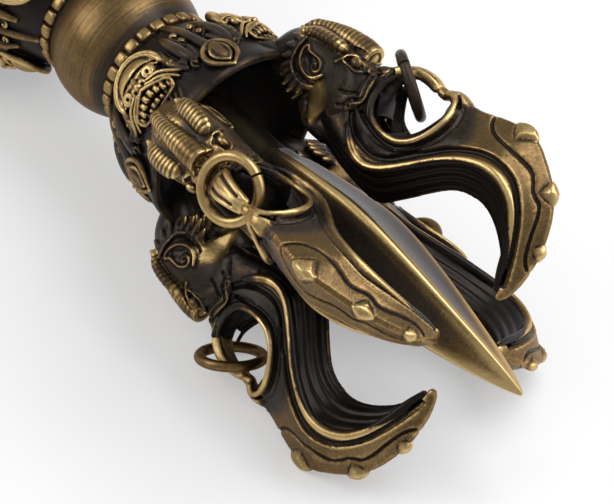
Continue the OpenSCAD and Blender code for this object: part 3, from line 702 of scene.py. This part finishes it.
makaraHead = {
    "box": ((29, 0, 10.4), (71.4, 9.3, 36.2)), "step": 0.2, "keep": 0.34, "board": ((30, 10), (72, 38)),
        "brushed": -35,
    "crest": [(34.6, 0, 26.8, 1), (35.8, 0, 28.2, 1.25), (37.6, 0, 29.1, 1.25), (40, 0, 29.8, 1.5),
        (43.4, 0, 30.4, 1.9), (47, 0, 30.7, 2.2), (50, 0, 30.6, 2.35), (52.4, 0, 30.3, 2.3)],
    "crestEnd": 51.4,
    "sideHorn": [(38.2, 4.9, 27.2, 0.9), (40.2, 5.3, 28.3, 1.1), (43.4, 5.4, 29, 1.15), (46, 5.2, 29.3, 1.1),
        (47.8, 4.8, 29.3, 0.75)],
    "ribs": 1.05,
    "ear": [(41.3, 21.4), (40.9, 22.1), (40.4, 21.5), (40.7, 20.7), (41.7, 20.6), (42.3, 21.5), (41.9, 22.5),
        (40.9, 23.1), (39.4, 23.2), (37.9, 23.2), (37.1, 24), (36.5, 22.9), (36.9, 21.2), (37.8, 20), (39.2, 19.2),
        (40.8, 19), (42.3, 19.6), (43.4, 21)],
    "upperLid": [(44.4, 25), (45.4, 26.8), (46.6, 28.1), (48, 28.9), (49.6, 29.2), (51, 28.8), (52, 27.8)],
    "lowerLid": [(45.6, 26), (47, 26.1), (49, 26), (50.4, 26.7), (51.6, 27.8)],
    "browLine": [(46.2, 29.6), (48.4, 30.2), (50.6, 30.1), (52.4, 29.4), (54, 29.4)],
    "folds": [
        [(48.8, 21.2), (50.5, 21.8), (52.3, 22.9)],
        [(51.7, 20.8), (52.5, 21.5), (53.7, 22.3), (54.1, 23.2), (53.6, 24.5), (53.2, 26), (53.6, 27.5), (54.6, 29)],
        [(53, 18.5), (54, 19.8), (54.8, 21.4), (55.1, 23), (55, 25), (54.9, 27.3), (55.8, 29.3)],
        [(50.2, 18.8), (51.2, 19.3), (51.6, 20.1)]],
    "lips": [
        [(52.6, 20.6), (54.2, 21.9), (54.6, 23.4), (54.2, 25.4), (54.2, 27.4), (55.2, 29.2)],
        [(51.9, 19.4), (52.6, 19.3), (52.9, 20), (52.2, 20.4), (51.7, 19.9)]],
    "trunk": [(49.5, 26.8, 3.2, 2.2), (53, 28, 2.9, 1.6), (55.3, 28.9, 2.6, 1.2), (57.3, 30.8, 2.4, 1.05),
        (59.3, 32.9, 2.3, 1), (62, 34.4, 2.1, 1), (65, 34.8, 1.6, 1), (67, 34.5, 1.2, 0.9)],
    # root and tip of each lock
    "mane": [((36.2, 18.9), (34.4, 17.3)), ((37, 18.2), (35.5, 16.2)), ((38.2, 17.6), (37.1, 15)),
        ((39.8, 17.4), (38.8, 14.4)), ((41.2, 17.4), (40.9, 15.4)), ((35.4, 20.4), (33.4, 19.2)),
        ((34.8, 22.2), (32.8, 21.4)), ((34.8, 24), (32.8, 23.8)), ((35, 25.6), (33.4, 26))],
    # pointed jaw: outline as seen, and half depth at each r
    "jaw": [(41.5, 21), (41.6, 18.6), (42.6, 16.8), (44.4, 14.4), (45.8, 12.7), (46.8, 12.2), (47.5, 12.9),
        (48, 15), (48.8, 17.4), (50, 19), (50.5, 22), (46, 23)],
    "jawDepth": [(12, 3.2), (15, 4.2), (18.5, 5.3), (22, 5.6)],
    # neck, skull, snout and cheeks
    "masses": [
        ("add", [(31, 0, 17.4, 2.6), (34, 0, 19.4, 3.9), (36.4, 0, 22.4, 4.8), (40, 0, 24.2, 5.2)], 1),
        ("ball", (43.8, 0, 23.9), (9, 7, 6.2), 1.2, 2.5),
        ("ball", (49.6, 0, 23.2), (6.4, 6.3, 6.9), 1.2, 2.6),
        ("add", [(52, 4, 28, 1.6), (54, 4, 25.2, 1.8), (54.2, 4, 21, 1.8), (52.6, 3.8, 18, 1.4)], 0.9),
        ("add", [(51, 0, 20, 3.4), (54, 0, 20.6, 3.6)], 1),
        ("add", [(45, 0, 15.4, 2.6), (48, 0, 14.2, 3), (51.4, 0, 14.2, 3.2)], 0.8),
        ("add", seen([(53.2, 19.2, 4.2, 1.3), (54.4, 22, 4.5, 1.3), (54, 25, 4.3, 1.2), (53.4, 27.4, 3.5, 1)]), 0.6),
        ("add", [(55, 0, 22.5, 2.6), (54.6, 0, 26, 2.8), (55.6, 0, 29.4, 2)], 0.8, 0.7)],
    "earLines": [
        ("groove", [(38.2, 21.8), (39.4, 21.2), (40.2, 20.6)], 1.1, 0.45),
        ("groove", [(36.2, 24.4), (35.8, 22), (36.5, 19.6), (38.4, 18.2), (40.8, 17.9), (43, 18.6)], 0.42, 0.35),
        ("bead", [(35.7, 25.4), (35.1, 22.4), (35.7, 19.4), (37.4, 17.9)], 0.45, 0.3),
        ("groove", [(46.6, 27), (48.2, 27.5), (50.4, 27.8)], 1, 0.7)],
    "rubs": [
        ("rub", [(43, 19), (45.6, 16.8), (46.4, 13)], 2.6, 0.75),
        ("rub", [(57, 31), (60, 34), (64, 36), (69, 34.5)], 2.6, 0.72),
        ("rub", [(46.2, 26.6), (48, 28.6), (50, 29), (52, 28.2)], 0.9, 0.55),
        ("rub", [(47.4, 27.4), (48.8, 27.6)], 1.2, 0.24),
        ("rub", [(35.5, 16.5), (38, 15.2), (41, 15.6)], 1.6, 0.34)],
    # the head that the hand meets first is rubbed most
    "wear": {"top_front": 0.2, "top_back": 0, "low_front": 0.04, "low_back": 0}}


def modelHead(spec):
    clay = Clay(*spec["box"], spec["step"])
    draw(clay, spec["masses"])
    clay.plate(spec["jaw"], spec["jawDepth"], 0.9, 0.9)
    # trunk: a plate between two strips
    line = smoothLine(spec["trunk"], 0.7)
    for across in (0, 0.4, 0.75):
        clay.add([(x, w * across, r - 0.25, k) for x, r, w, k in line], 0.3)
    clay.add([(x, w * 0.22, r + 0.15, k) for x, r, w, k in line[9:]], 0.15)
    clay.add([(x, w * 0.98, r + 0.35, 0.5) for x, r, w, k in line[9:]], 0.1)
    clay.carve([(x, w * 0.66, r + k * 0.95, 0.36) for x, r, w, k in line[11:-2]], 0.08)
    # horns
    clay.add(spec["crest"], 0.08, ribs=(spec["ribs"], 0.15), stop=spec["crestEnd"])
    clay.carve([(spec["crestEnd"] + 0.1, 1.5 * math.sin(a), 30.3 + 1.5 * math.cos(a), 0.32)
                for a in np.linspace(0, math.pi, 9)])
    clay.add(spec["sideHorn"], 0.08, 0.62, ribs=(spec["ribs"], 0.17))
    # mane of pointed locks
    for (x0, r0), (x1, r1) in spec["mane"]:
        clay.add(seen([(x0 + 1.2, r0 + 0.8, 4.7, 1.2), (x0, r0, 5.1, 1.1), (x1, r1, 4.9, 0.4)]), 0.15)
        clay.add([(x0 + 3.4, 2.2, r0 + 0.6, 1.3), (x1 + 3.2, 2.2, r1 + 0.2, 0.4)], 0.15)
    plan = Plan(*spec["board"])
    plan.bead(spec["ear"], 0.4, 0.6)
    draw(plan, spec["earLines"])
    plan.bead(spec["upperLid"], 0.4, 0.55)
    plan.bead(spec["lowerLid"], 0.36, 0.45)
    plan.bead([(a + 0.5, b + 0.9) for a, b in spec["upperLid"][2:]], 0.4, 0.25)
    plan.groove(spec["browLine"], 0.4, 0.4)
    for line in spec["folds"]:
        plan.groove(line, 0.42, 0.4)
    for line in spec["lips"]:
        plan.bead(line, 0.36, 0.32)
    clay.relief(plan)
    eye = seen([(48.5, 27.5, 5.5, 1)])[0]
    clay.ball(eye[:3], (1.35, 0.8, 1.1), 0.06)
    made = fire(clay, spec["keep"])
    p = made["points"]
    x, t, r = p[:, 0], np.abs(p[:, 1]), p[:, 2]
    plan.gilt[:] = 0.2
    draw(plan, spec["rubs"])
    gilt = plan.gilt[plan.under(x, t, r)].astype(float)
    horn = np.zeros(len(p))
    for rows, reach in ((spec["crest"], 2.9), (spec["sideHorn"], 2.1)):
        far, along = nearLine(p, rows, 0.1)
        rubbed = rise(far, reach, -0.5) * (x < 51.8)
        gilt += (0.56 + 0.2 * np.cos(2 * math.pi * along / spec["ribs"]) - gilt) * rubbed
        horn = np.maximum(horn, rubbed)
    cap = np.clip(2.6 - np.hypot(t, r - 30.3), 0, 1) * np.clip(1 - np.abs(x - 51.4) / 0.5, 0, 1)
    gilt += raised(made, 0.03) * (1.2 + 2.4 * gilt)
    gilt -= hollow(made, 0.02, 8, 0.03, 1.6) * (1 - 0.8 * horn)
    gilt *= np.clip((r - 10) / 4, 0.15, 1) * np.clip((x - 32) / 3, 0.1, 1)
    gilt = np.clip(np.maximum(gilt, 0.62 * cap), 0, 1)
    brow = (1 - horn) * rise(r, 20, 6) * rise(gilt, 0.6, -0.3)
    return dict(made, gilt=gilt, brow=brow, grain=streaks(p, spec["brushed"]))


castEight("makaraHead", "makara", modelHead(makaraHead), makaraHead["wear"])


faceCollar = {
    "box": ((10.8, 0, 0), (36.4, 25.2, 25.2)), "step": 0.22, "keep": 0.35, "brushed": 80, "bearing": 15.7,
    "profile": [(11.4, 12.2), (12.4, 13.2), (14, 14.2), (17, 15.7), (20, 17), (24, 18.3), (28, 19.4), (32, 20.2),
        (34.6, 20.9), (35.4, 20.5)],
    "cup": [(26.2, 6.9), (28, 11), (30.8, 16.4), (33, 18.6), (35.6, 19.3)],
    "crown": [(14.6, 0, 16, 1.15), (15.1, 2.2, 16.1, 1.15), (16.4, 4.1, 16.4, 1.1), (18.3, 5.5, 16.9, 1),
        (20.2, 6.2, 17.3, 0.8), (21.4, 6.3, 17.6, 0.5)],
    "brows": [
        [(18.4, 0, 18.5, 0.36), (18.4, 1.5, 18.3, 0.36), (18.6, 3, 17.9, 0.36), (19.1, 4.4, 17.3, 0.3)],
        [(20.4, 1, 19.3, 0.36), (20.2, 2.6, 19, 0.4), (20.3, 4.2, 18.4, 0.4), (21.2, 5.4, 17.8, 0.3)]],
    "browGroove": [(19.4, 0, 19, 0.5), (19.3, 1.5, 18.8, 0.5), (19.4, 3, 18.4, 0.5), (19.8, 4.3, 17.8, 0.4),
        (20.6, 5.4, 17.2, 0.3)],
    "folds": [
        [(22.7, 1.1, 20.1, 0.36), (23.4, 2.7, 20.1, 0.38), (23.9, 4.4, 19.9, 0.38), (24.9, 5.7, 19.6, 0.38),
         (26.3, 6.9, 19, 0.38), (27.4, 8, 18.4, 0.36), (27.3, 9.2, 17.8, 0.34), (26.3, 9.6, 17.5, 0.3)],
        [(23.3, 0.6, 20.6, 0.36), (24.3, 2.3, 20.5, 0.38), (25, 4, 20.2, 0.38), (25.8, 5.2, 19.8, 0.36),
         (27, 6.2, 19.2, 0.34), (28, 6.8, 18.8, 0.28)],
        [(24, 0, 20.9, 0.38), (24.8, 1.7, 20.8, 0.4), (25.7, 3.5, 20.3, 0.38), (26.5, 5, 19.8, 0.36),
         (27.6, 5.4, 19.5, 0.34), (28.6, 4.9, 19.6, 0.34)]],
    "lip": [(28.6, 5, 19.4, 0.36), (29.3, 3.4, 19.9, 0.38), (29.6, 1.6, 20.2, 0.38), (29.7, 0, 20.3, 0.38)],
    # x, across, r and half sizes of the teeth
    "teeth": [(26.1, 0.75, 20.6, 0.9, 0.66, 0.7), (26.5, 2.15, 20.3, 0.85, 0.62, 0.7),
        (27.1, 3.4, 19.9, 1, 0.55, 0.75), (27.7, 4.5, 19.5, 0.8, 0.45, 0.6), (28.2, 0.6, 20.1, 0.75, 0.55, 0.6),
        (28.4, 1.8, 19.9, 0.7, 0.5, 0.6), (28.5, 2.9, 19.6, 0.65, 0.45, 0.55)],
    "skull": [
        ("ball", (20.6, 0, 15.6), (5.6, 5.9, 3.9), 0.8),
        ("ball", (26, 0, 16.8), (5.2, 6.2, 3.7), 0.8)],
    # a broad nose with open nostrils, an eye in a ring with a drilled pupil
    "noseAndEye": [
        ("add", [(20.2, 0, 19.6, 0.5), (21.8, 0, 20.3, 0.6), (22.8, 0, 20.8, 0.75)], 0.25),
        ("ball", (22.7, 1.15, 20.3), (0.9, 0.85, 0.75), 0.15),
        ("ball", (23.3, 1.15, 20.8), (0.42, 0.4, 0.5), 0.08, 2, -1),
        ("ball", (21.8, 3.4, 18.9), (1.6, 1.6, 1.2), 0.1),
        ("add", [(21.9 + 1.15 * math.cos(a), 3.4 + 1.15 * math.sin(a), 19.75 - 0.16 * math.sin(a), 0.24)
                 for a in np.linspace(0, 2 * math.pi, 15)], 0.06),
        ("ball", (21.9, 3.45, 20.1), (0.42, 0.42, 0.7), 0.06, 2, -1)],
    "beard": [(0.6, 0.42), (1.6, 0.42), (2.7, 0.42), (3.8, 0.42), (5, 0.55)],
    # on the diagonal between two faces: x, across, distance from the axis, thickness
    "stem": [(12.2, 0, 13.3, 0.7), (15, 0.1, 15.1, 0.85), (18, 0, 16.6, 1), (22, 0, 18, 1.1), (25.2, 0, 19, 1.25),
        (27.4, 0, 19.7, 1.4)],
    "leaf": [
        [(26.6, 0.1, 20.8, 0.5), (27.2, 1.6, 20.6, 0.6), (28.6, 2.9, 20.5, 0.65), (30.6, 3.3, 20.6, 0.7),
         (32.6, 2.5, 21, 0.6), (34, 1.1, 21.3, 0.5), (34.9, 0, 21.5, 0.35)],
        [(28.1, 0.1, 21.1, 0.4), (28.6, 1.1, 21.1, 0.45), (29.8, 1.8, 21, 0.5), (31.4, 1.6, 21.1, 0.45),
         (32.6, 0.8, 21.4, 0.4), (33.4, 0, 21.6, 0.3)]],
    "locks": [
        [(16.5, 3.6, 15.4, 0.7), (19, 4.2, 16.8, 1.1), (22.6, 4.5, 18.2, 1.3), (25.6, 4.6, 19.1, 1.2),
         (27.6, 4.2, 19.4, 0.9)],
        [(19.6, 6.4, 15.9, 0.7), (22.4, 7.2, 16.8, 0.95), (25.4, 7.2, 17.7, 1), (28, 6.4, 18.7, 0.7)],
        [(23.4, 2.4, 18.4, 0.7), (25.6, 3, 19.1, 0.8), (27.6, 3.3, 19.6, 0.7)]],
    "curls": [(18.2, 2, 16.7, 1), (21, 2.2, 17.8, 1), (26.4, 6.2, 18.5, 1.15), (28.6, 4.8, 19.5, 1),
        (24, 7.2, 17.6, 1)]}


def between(rows):
    # across the diagonal between two faces
    root = math.sqrt(0.5)
    return [(x, (q - a) * root, (q + a) * root, w) for x, a, q, w in rows]


def curl(x, a, q, size):
    # a small raised spiral
    rows = []
    for k in range(9):
        turn, reach = k * 0.95, size * (1 - k * 0.1)
        rows.append((x + reach * math.cos(turn), a + reach * math.sin(turn), q + 0.09 * k, 0.33))
    return rows


def modelCollar(spec):
    clay = Clay(*spec["box"], spec["step"], (1, 2))
    _, x, t, r = clay.window()
    rho = np.sqrt(t ** 2 + r ** 2)
    px, pr = np.array(spec["profile"]).T
    cx, cr = np.array(spec["cup"]).T
    outer = (rho - np.interp(x, px, pr)) * 0.93
    cup = np.maximum((rho - np.interp(x, cx, cr)) * 0.75, cx[0] - x)
    body = np.maximum(np.maximum(outer, x - 35.4), 11.4 - x)
    clay.field[:] = -softMin(-body, cup, 0.3)
    draw(clay, spec["skull"])
    clay.add(spec["crown"], 0.2)
    for shift in (-0.45, 0.45):
        rows = []
        for x0, t0, r0, k in spec["crown"][:-1]:
            far = math.hypot(x0 - 20.5, t0)
            rows.append((x0 + shift * (x0 - 20.5) / far, t0 + shift * t0 / far, r0 + k * 0.93, 0.28))
        clay.carve(rows)
    clay.carve(spec["browGroove"])
    for line in spec["brows"]:
        clay.add(line, 0.1)
    # open mouth with blocky teeth
    clay.ball((27.3, 0, 20.9), (2.3, 5.2, 1.9), 0.25, sign=-1)
    clay.add(spec["lip"], 0.12)
    for tx, across, tr, a, b, c in spec["teeth"]:
        clay.ball((tx, across, tr), (a, b, c), 0.06, 3.5)
    for line in spec["folds"]:
        clay.add(line, 0.08)
    draw(clay, spec["noseAndEye"])
    for side, size in spec["beard"]:
        drop = 0.05 * side ** 2
        clay.add([(30.3, side, 20.3 - drop, size), (32, side * 0.9, 21.0 - drop, size),
                  (34.2, side * 0.72, 21.8 - drop, size * 0.75)], 0.1)
    # stem, leaf and locks between two faces
    clay.add(between(spec["stem"]), 0.3)
    clay.add(between([(28.6, 0, 19.9, 1.9), (31.6, 0, 20.3, 1.6)]), 0.5)
    for line in spec["leaf"]:
        clay.add(between(line), 0.1)
    clay.ball(between([(30.4, 0, 21.3, 1)])[0][:3], (0.9, 0.5, 0.5), 0.08)
    for line in spec["locks"]:
        clay.add(between(line), 0.12)
    for x0, a0, q0, size in spec["curls"]:
        clay.add(between(curl(x0, a0, q0, size)), 0.06)
    clay.field = softMin(clay.field, clay.field.transpose(0, 2, 1), 0.05)
    # bearing for the sphere
    clay.field = np.maximum(clay.field, spec["bearing"] - np.sqrt(x ** 2 + t ** 2 + r ** 2))
    made = fire(clay, spec["keep"])
    p = made["points"]
    x, t, r = p[:, 0], np.abs(p[:, 1]), np.abs(p[:, 2])
    rho = np.hypot(t, r)
    outward = (made["normal"] * p)[:, 1:].sum(1) / np.maximum(rho, 0.1)
    above = rho - np.interp(x, px, pr)
    gilt = 0.08 + 0.34 * rise(above, 0.3, 1.6) * np.clip(outward + 0.2, 0, 1)
    near = [nearLine(np.column_stack(folded), spec["crown"])[0] for folded in ((x, t, r), (x, r, t))]
    gilt += 0.2 * np.clip(2 - np.minimum(*near) / 0.7, 0, 1)
    # faces and leaves are rubbed, the locks between them are darker, most of all away from the beads
    turn = np.degrees(np.arctan2(np.minimum(t, r), np.maximum(t, r)))
    lock = rise(turn, 22, 4) * (1 - rise(turn, 33, 4) * rise(x, 26, 1)) * (0.35 + 0.65 * rise(x, 17, 7))
    gilt += 0.2 * rise(turn, 19, -3) * rise(x, 24.5, -1.5) * rise(x, 14, 2)
    gilt = gilt * (1 - 0.5 * lock) + 0.16 * rise(x, 21, -6) * rise(above, 0.2, 1.2)
    gilt += raised(made, 0.02) * (2.3 - 1.2 * lock) - hollow(made, 0.02, 8, 0.05, 2.2)
    gilt[outward < -0.3] = 0
    return dict(made, gilt=np.clip(gilt, 0, 1), grain=streaks(p, spec["brushed"]))


# drawn with its first face straight up, then turned to the prongs
castBoth("faceCollar", "face_collar", modelCollar(faceCollar), 45)


spearBlade = {
    "rows": [(26.2, 5.5), (40, 5.5), (44.6, 5.6), (46.5, 7.2), (50, 8.7), (58, 10.3), (66, 11.5), (71, 11.8),
             (78, 11.3), (88, 9.5), (98, 7.2), (108, 4.7), (115, 2.6), (119, 1), (120.1, 0.45)],
    "hollow": 0.1, "edge": 0.06, "sides": 72, "brushed": 62}


def wrapFaces(rows, sides):
    # triangles of rows of points that close round the long axis
    i, k = np.meshgrid(np.arange(rows - 1), np.arange(sides), indexing="ij")
    a, b = i * sides + k, i * sides + (k + 1) % sides
    quads = np.stack([b, b + sides, a + sides, a], -1).reshape(-1, 4)
    return np.vstack([quads[:, [1, 2, 3]], quads[:, [0, 1, 3]]])


def ringPoints(x, size, around):
    return np.column_stack([np.full(len(around), x), size * np.sin(around), size * np.cos(around)])


def modelBlade(spec):
    rows = smoothLine(spec["rows"], 0.55)
    around = np.linspace(0, 2 * math.pi, spec["sides"], endpoint=False)
    # a diamond with hollow faces and softened ridges, round at the shank
    q = np.abs((around / (math.pi / 2)) % 1 * 2 - 1)
    points, gilt = [], []
    for x, w in rows:
        shank = rise(x, 47.5, -3)
        diamond = 1 / (np.abs(np.cos(around)) + np.abs(np.sin(around)))
        diamond *= 1 - spec["hollow"] * (1 - q ** 2) * (1 - shank)
        diamond = np.minimum(diamond, 1 - spec["edge"] * (q > 0.97))
        size = w * (diamond * (1 - shank) + shank)
        points.append(ringPoints(x, size, around))
        near = np.clip(1 - (1 - q) * w / 3.6, 0, 1)
        body = 0.14 + 0.22 * rise(x, 58, 58) + 0.3 * rise(x, 98, 18)
        gilt.append(np.clip(body + (0.95 - body) * near ** 1.2 * np.clip((x - 46) / 12, 0.2, 1), 0, 1))
    n, m = len(rows), len(around)
    points = np.vstack(points + [[rows[0][0], 0, 0], [rows[-1][0] + 0.13, 0, 0]])
    gilt = np.r_[np.concatenate(gilt), 0, 1]
    k, last = np.arange(m), (n - 1) * m
    tri = np.vstack([wrapFaces(n, m), np.column_stack([(k + 1) % m, k, np.full(m, n * m)]),
                     np.column_stack([last + k, last + (k + 1) % m, np.full(m, n * m + 1)])])
    return {"points": points, "tri": tri, "gilt": gilt, "grain": streaks(points, spec["brushed"])}


castBoth("spearBlade", "blade", modelBlade(spearBlade))


beadRing = {"count": 24, "radius": 12.1, "x": 10.3, "half": (1.42, 1.5, 1.5), "square": 0.5, "rings": 14, "sides": 24,
            "band": [(9.3, 11.6), (9.6, 12.5), (11.2, 12.6), (11.6, 12)], "bandSides": 96}


def modelBeads(spec):
    # squarish beads on a band
    points, faces, gilt = [], [], []
    rings, sides = spec["rings"], spec["sides"]
    la, lo = np.meshgrid(np.linspace(-math.pi / 2, math.pi / 2, rings),
                         np.linspace(0, 2 * math.pi, sides, endpoint=False), indexing="ij")
    waves = (np.sin(la), np.cos(la), np.cos(lo), np.sin(lo))
    up, out, c, s = (np.sign(v) * np.abs(v) ** spec["square"] for v in waves)
    bead = np.column_stack([v.ravel() for v in (up, out * c, out * s)]) * spec["half"]
    tri = wrapFaces(rings, sides)
    for n in range(spec["count"]):
        c, s = cosSin(360 * n / spec["count"] + 45)
        x, t, r = (bead + [spec["x"], 0, spec["radius"]]).T
        faces.append(tri + len(bead) * n)
        points.append(np.column_stack([x, t * c - r * s, t * s + r * c]))
        gilt.append(np.clip(0.2 + 0.42 * bead[:, 2] / spec["half"][2], 0.05, 0.7))
    # the band under the beads
    m = spec["bandSides"]
    start = len(bead) * spec["count"]
    around = np.linspace(0, 2 * math.pi, m, endpoint=False)
    for x, rad in spec["band"]:
        points.append(ringPoints(x, rad, around))
        gilt.append(np.full(m, 0.04))
    faces.append(start + wrapFaces(len(spec["band"]), m)[:, ::-1])
    points = np.vstack(points)
    return {"points": points, "tri": np.vstack(faces), "gilt": np.concatenate(gilt),
            "grain": streaks(points, 0, 2, 2)}


castBoth("beadRing", "bead_ring", modelBeads(beadRing))


# sphere, rings and rod keep their CAD shapes
def paint(node, material):
    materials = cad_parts[node].data.materials
    materials.clear()
    materials.append(material)


# the sphere's gilt falls towards the bead rings: painted shade there, partly patina
sphereFinishAndShade = dict(antiqueBrass, dark=(25, 80), darker=0.26)
paint("center_sphere", brassMaterial("sphereBrass", sphereFinishAndShade, 0.47, (3200, 90, 90)))
ringWear = {"top_front": 0.72, "top_back": 0.3, "low_front": 0.5, "low_back": 0.5}
for spot, wear in ringWear.items():
    ringBrass = brassMaterial(f"ringBrass_{spot}", dict(antiqueBrass, brush=0.1), wear, (900, 900, 900))
    for end in ends:
        paint(f"ring_{end}_{spot}", ringBrass)
rodSteel = Ink("rodSteel")
rodSteel.feed("Base Color", tint(0.5, 0.5, 0.49))
rodSteel.feed("Metallic", 1)
rodSteel.feed("Roughness", rodSteel.node("ShaderNodeTexNoise", {}, {"Scale": 900}) * 0.2 + 0.3)
paint("tie_rod", rodSteel.material)
report("sphere, rings and rod painted")


studio = {
    "table": tint(0.88, 0.88, 0.89), "glow": 0.35, "world": 0.5, "aim": (0.06, 0, 0.03),
    # place, width, height, power, colour
    "lamps": {
        "overheadLamp": ((0.15, 0.35, 0.75), 0.6, 0.6, 4.2, (1, 1, 1)),
        "leftLamp": ((-0.45, -0.45, 0.5), 0.5, 0.4, 2.2, (1, 0.99, 0.97)),
        "backLamp": ((0.5, 0.45, 0.4), 0.35, 0.5, 1.6, (0.97, 0.98, 1))},
    "eye": (475.2125, -351.9936, 589.4739),
    "right": (0.6437752, 0.7650543, 0.0156634),
    "up": (-0.5730548, 0.4684450, 0.6724340),
    "back": (0.5071111, -0.4418723, 0.7399913),
    "lens": 241.508, "shift": (-0.076222, -0.011295)}

tableMesh = newMesh("table", [(-3, -3, 0), (3, -3, 0), (3, 3, 0), (-3, 3, 0)], [(0, 1, 2, 3)])
table = newObject("table", tableMesh)
table.location.z = -0.0002
tableInk = Ink("tableWhite")
tableInk.feed("Base Color", studio["table"])
tableInk.feed("Roughness", 0.6)
tableInk.feed("Specular IOR Level", 0.2)
seenRay = tableInk.node("ShaderNodeLightPath", out="Is Camera Ray")
glow = tableInk.node("ShaderNodeEmission", {}, {"Color": tint(1, 1, 1), "Strength": 1})
plain = Mark(tableInk, tableInk.shader.outputs[0])
blend = tableInk.node("ShaderNodeMixShader", {}, {0: seenRay * studio["glow"], 1: plain, 2: glow})
tableInk.links.new(blend.socket, tableInk.nodes["Material Output"].inputs[0])
tableMesh.materials.append(tableInk.material)

for name, (spot, width, height, power, colour) in studio["lamps"].items():
    lamp = bpy.data.lights.new(name, "AREA")
    lamp.shape, lamp.size, lamp.size_y, lamp.energy, lamp.color = "RECTANGLE", width, height, power, colour
    obj = newObject(name, lamp)
    obj.location = spot
    obj.rotation_euler = (Vector(studio["aim"]) - Vector(spot)).to_track_quat("-Z", "Y").to_euler()

world = bpy.data.worlds.new("studioWorld")
world.use_nodes = True
sky = world.node_tree.nodes["Background"].inputs
sky["Color"].default_value = tint(1, 1, 1)
sky["Strength"].default_value = studio["world"]
bpy.context.scene.world = world

camera = newObject("camera", bpy.data.cameras.new("camera"))
camera.data.sensor_width = 36
camera.data.lens = studio["lens"]
camera.data.shift_x, camera.data.shift_y = studio["shift"]
camera.data.clip_end = 10
turn = Matrix((studio["right"], studio["up"], studio["back"])).transposed().to_4x4()
eye = Vector(studio["eye"]) + Vector((0, 0, axisHeight))
camera.matrix_world = Matrix.Translation(eye * mm) @ turn
bpy.context.scene.camera = camera
bpy.context.scene.view_settings.view_transform = "Standard"
report("table, lights and camera set")
